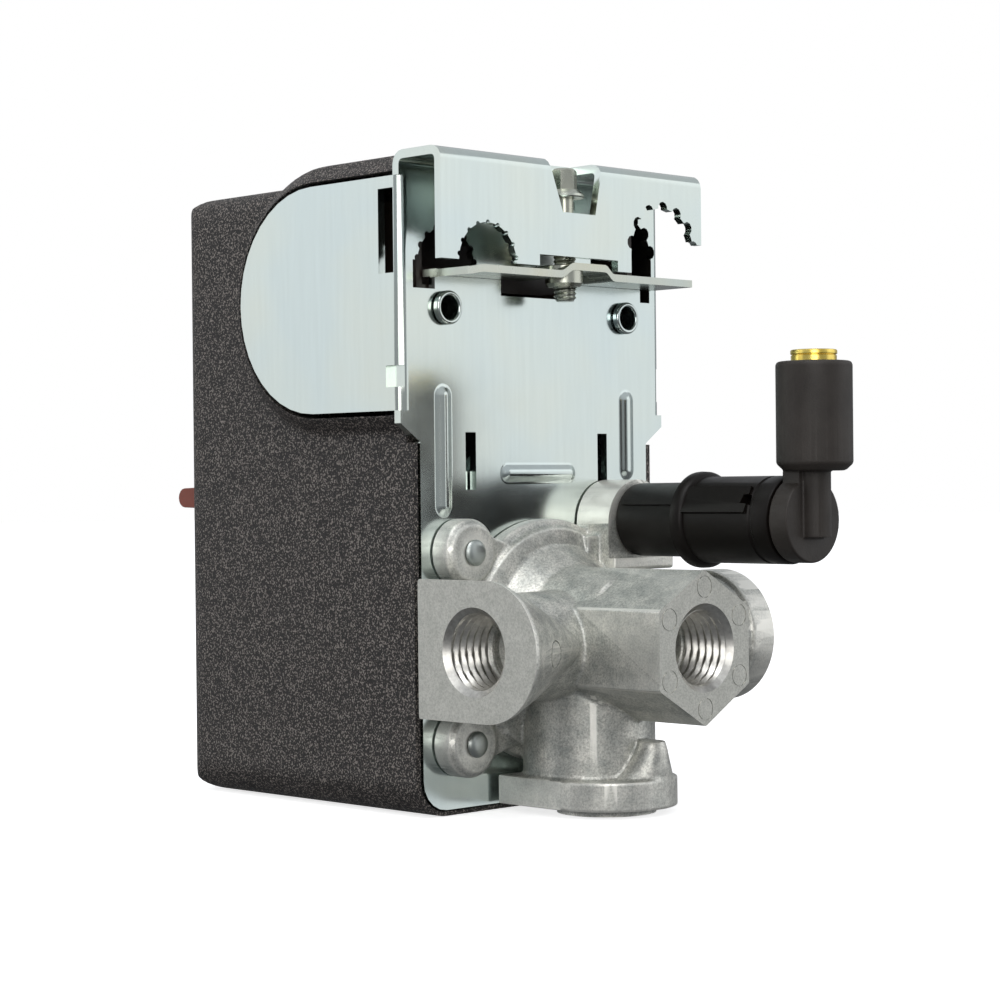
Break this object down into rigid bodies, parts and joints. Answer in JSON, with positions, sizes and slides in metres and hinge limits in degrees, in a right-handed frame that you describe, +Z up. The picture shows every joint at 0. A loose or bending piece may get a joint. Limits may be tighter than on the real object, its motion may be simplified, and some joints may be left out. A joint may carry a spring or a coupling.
{
  "type": "air compressor pressure switch",
  "caption": "Boxed electric pressure switch with a folded steel frame, black cover, cast manifold with threaded ports, cable clamp and an unloader valve with swivel elbow.",
  "frame": {"origin": "centre of the bounding box at its underside", "axes": "+Z up, -Y towards the manifold and the unloader elbow, +X to the right seen from the manifold side"},
  "size_m": [0.061, 0.1174, 0.1049],
  "materials": {
    "zinc_steel": "bright zinc plated, satin",
    "yellow_zinc": "yellowish zinc plated, satin",
    "spring_steel": "plain steel, satin",
    "cast_alloy": "die cast, mottled matt, machined faces",
    "cover_plastic": "fine grained black",
    "valve_plastic": "satin black nylon",
    "connector_plastic": "matt charcoal",
    "phenolic": "dark moulded thermoset",
    "red_plastic": "brownish red moulding",
    "brass": "bright turned",
    "rubber": "black"
  },
  "bodies": {
    "base": {"frame": "zinc_steel", "manifold": "cast_alloy", "manifold_rivet_1": "zinc_steel", "manifold_rivet_2": "zinc_steel", "manifold_rivet_3": "zinc_steel", "block_eyelet_1": "zinc_steel", "block_eyelet_2": "zinc_steel", "diaphragm": "rubber", "lever_pivot_pin": "spring_steel", "pivot_bracket": "zinc_steel", "range_stud": "spring_steel", "range_spring": "spring_steel", "differential_stud": "spring_steel", "differential_spring": "spring_steel", "contact_block": "phenolic", "terminal_plate_1": "brass", "terminal_plate_2": "brass", "terminal_plate_3": "brass", "terminal_plate_4": "brass", "terminal_screw_1": "zinc_steel", "terminal_screw_2": "zinc_steel", "terminal_screw_3": "zinc_steel", "terminal_screw_4": "zinc_steel", "on_off_pin": "spring_steel", "on_off_bracket": "zinc_steel", "unloader_body": "valve_plastic", "unloader_o_ring": "rubber", "unloader_spring": "spring_steel", "cover_standoff": "yellow_zinc"},
    "cover": {"cover": "cover_plastic"},
    "cover_screw": {"cover_screw": "zinc_steel"},
    "clamp_screw": {"clamp_screw": "yellow_zinc"},
    "cable_clamp": {"cable_clamp": "yellow_zinc"},
    "main_lever": {"main_lever": "zinc_steel"},
    "plunger": {"plunger": "brass"},
    "contacts": {"contact_carrier": "phenolic", "contact_bridge_left": "brass", "contact_bridge_right": "brass"},
    "unloader_stem": {"unloader_stem": "brass"},
    "range_seat": {"range_seat": "zinc_steel"},
    "range_nut": {"range_nut": "yellow_zinc"},
    "differential_seat": {"differential_seat": "zinc_steel"},
    "differential_nut": {"differential_nut": "yellow_zinc"},
    "on_off_lever": {"on_off_lever": "red_plastic"},
    "elbow": {"elbow_connector": "connector_plastic", "tube_seal": "rubber", "grab_ring": "spring_steel"},
    "release_collar": {"release_collar": "brass"}
  },
  "joints": [
    {"name": "cover_pull", "type": "slide", "parent": "base", "child": "cover", "axis": [0, 1, 0], "range_m": [0, 0.065]},
    {"name": "cover_screw_turn", "type": "hinge", "parent": "cover", "child": "cover_screw", "pos_m": [0.02, 0.05225, 0.02], "axis": [0, 1, 0], "range_deg": [0, 1800]},
    {"name": "clamp_screw_turn", "type": "hinge", "parent": "base", "child": "clamp_screw", "pos_m": [0.0006, -0.01365, 0.099], "axis": [0, 0, 1], "range_deg": [0, 900]},
    {"name": "clamp_travel", "type": "slide", "parent": "base", "child": "cable_clamp", "axis": [0, 0, 1], "range_m": [-0.00175, 0]},
    {"name": "lever_tilt", "type": "hinge", "parent": "base", "child": "main_lever", "pos_m": [0, 0.00425, 0.012], "axis": [-1, 0, 0], "range_deg": [0, 2.2], "stiffness_Nm_per_rad": 20, "springref_deg": -1.15, "deforming": ["range_spring", "differential_spring"]},
    {"name": "plunger_travel", "type": "slide", "parent": "base", "child": "plunger", "axis": [0, 1, 0], "range_m": [0, 0.0006]},
    {"name": "contact_travel", "type": "slide", "parent": "base", "child": "contacts", "axis": [0, 1, 0], "range_m": [0, 0.0026]},
    {"name": "stem_travel", "type": "slide", "parent": "base", "child": "unloader_stem", "axis": [0, 1, 0], "range_m": [0, 0.0014], "deforming": ["unloader_spring"]},
    {"name": "range_seat_travel", "type": "slide", "parent": "base", "child": "range_seat", "axis": [0, 1, 0], "range_m": [-0.004, 0.004], "deforming": ["range_spring"]},
    {"name": "range_nut_turn", "type": "hinge", "parent": "range_seat", "child": "range_nut", "pos_m": [0, 0.03425, 0.046], "axis": [0, 1, 0], "range_deg": [-1440, 1440]},
    {"name": "differential_seat_travel", "type": "slide", "parent": "base", "child": "differential_seat", "axis": [0, 1, 0], "range_m": [-0.0035, 0.0035], "deforming": ["differential_spring"]},
    {"name": "differential_nut_turn", "type": "hinge", "parent": "differential_seat", "child": "differential_nut", "pos_m": [0, 0.02225, 0.065], "axis": [0, 1, 0], "range_deg": [-1800, 1800]},
    {"name": "on_off_swing", "type": "hinge", "parent": "base", "child": "on_off_lever", "pos_m": [-0.022, 0.04025, 0.0508], "axis": [1, 0, 0], "range_deg": [-12, 12]},
    {"name": "elbow_swivel", "type": "hinge", "parent": "base", "child": "elbow", "pos_m": [0.0158, -0.04975, 0.0465], "axis": [0, 1, 0], "continuous": true},
    {"name": "collar_push", "type": "slide", "parent": "elbow", "child": "release_collar", "axis": [0, 0, 1], "range_m": [-0.0008, 0], "stiffness_N_per_m": 400, "springref_m": 0.0003}
  ],
  "couplings": [
    {"joint": "clamp_screw_turn", "follows": "clamp_travel", "rad_per_m": -8976},
    {"joint": "plunger_travel", "follows": "lever_tilt", "m_per_rad": 0.015},
    {"joint": "contact_travel", "follows": "lever_tilt", "m_per_rad": 0.0667},
    {"joint": "stem_travel", "follows": "lever_tilt", "m_per_rad": 0.0345},
    {"joint": "range_nut_turn", "follows": "range_seat_travel", "rad_per_m": 6283.2},
    {"joint": "differential_nut_turn", "follows": "differential_seat_travel", "rad_per_m": 8976}
  ]
}
